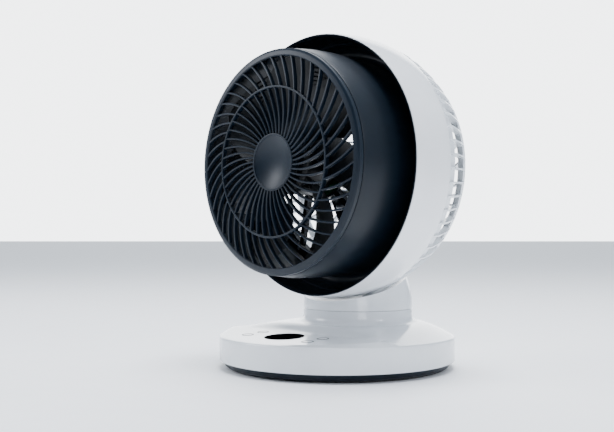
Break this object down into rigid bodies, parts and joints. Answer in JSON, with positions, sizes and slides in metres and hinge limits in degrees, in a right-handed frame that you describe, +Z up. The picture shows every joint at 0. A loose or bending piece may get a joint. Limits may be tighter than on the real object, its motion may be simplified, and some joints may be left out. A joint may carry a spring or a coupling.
{
  "type": "desk air circulator fan",
  "caption": "Desk air circulator: round ball head with curved-spoke grille tilts on a swivelling neck over a wide disc base with a touch panel.",
  "frame": {"origin": "centre of the underside of the base, on the desk", "axes": "+Z up, the air leaves towards -Y, +X is the object's left, which is the viewer's right facing the grille"},
  "size_m": [0.2859, 0.2562, 0.36],
  "materials": {
    "white_abs": "satin white moulded ABS",
    "gloss_white_abs": "glossy white moulded ABS",
    "dark_abs": "satin dark navy moulded ABS",
    "black_gloss": "gloss black",
    "black_rubber": "matt rubber",
    "steel": "zinc plated",
    "pom": "natural acetal",
    "circuit_board": "solder mask",
    "ballast_steel": "as cast",
    "icon_print": "printed outline",
    "blade_plastic": "satin dark moulded blades",
    "rotor_steel": "black coated steel cup",
    "magnet": "bonded magnet ring"
  },
  "bodies": {
    "base": {"base_pan": "dark_abs", "foot_pads": "black_rubber", "ballast_plate": "ballast_steel", "ballast_screws": "steel", "base_cover": "white_abs", "display_window": "black_gloss", "touch_rings": "icon_print", "display_board": "circuit_board", "display_screws": "steel", "power_board": "circuit_board", "board_screws": "steel", "cord_grommet": "black_rubber", "base_screws": "steel", "swivel_motor": "steel", "swivel_motor_screws": "steel", "bearing_ring": "pom"},
    "neck": {"turntable": "dark_abs", "retainer_ring": "steel", "swivel_gear": "pom", "turntable_screws": "steel", "neck_shell": "white_abs", "neck_screws": "steel", "tilt_arm": "dark_abs", "arm_screws": "steel", "arm_bush": "pom", "tilt_motor": "steel"},
    "swivel_pinion": {"swivel_pinion": "pom"},
    "tilt_pinion": {"tilt_pinion": "pom"},
    "head": {"outer_ring": "gloss_white_abs", "front_shroud": "dark_abs", "front_grille": "dark_abs", "hub_dish": "dark_abs", "rear_grille": "white_abs", "rear_cap": "white_abs", "motor_mount": "dark_abs", "mount_screws": "steel", "grille_screws": "steel", "tilt_axle": "steel", "axle_clips": "steel", "tilt_sector": "pom", "motor_stator": "steel", "motor_bearings": "steel", "driver_board": "circuit_board"},
    "rotor": {"impeller": "blade_plastic", "motor_rotor": "rotor_steel", "rotor_magnets": "magnet", "motor_shaft": "steel", "impeller_nut": "steel"}
  },
  "joints": [
    {"name": "neck_swivel", "type": "hinge", "parent": "base", "child": "neck", "pos_m": [0, 0.0348, 0.0615], "axis": [0, 0, 1], "range_deg": [-37.5, 37.5]},
    {"name": "head_tilt", "type": "hinge", "parent": "neck", "child": "head", "pos_m": [0, -0.007, 0.217], "axis": [-1, 0, 0], "range_deg": [-10, 30]},
    {"name": "fan_spin", "type": "hinge", "parent": "head", "child": "rotor", "pos_m": [0, -0.045, 0.217], "axis": [0, -1, 0], "continuous": true},
    {"name": "swivel_pinion_spin", "type": "hinge", "parent": "base", "child": "swivel_pinion", "pos_m": [-0.063, 0.0348, 0.0407], "axis": [0, 0, 1], "range_deg": [-160, 160]},
    {"name": "tilt_pinion_spin", "type": "hinge", "parent": "neck", "child": "tilt_pinion", "pos_m": [0.0244, 0.00728, 0.18836], "axis": [-1, 0, 0], "range_deg": [-91, 31]}
  ],
  "couplings": [
    {"joint": "swivel_pinion_spin", "follows": "neck_swivel", "ratio": -4.25},
    {"joint": "tilt_pinion_spin", "follows": "head_tilt", "ratio": -3}
  ]
}
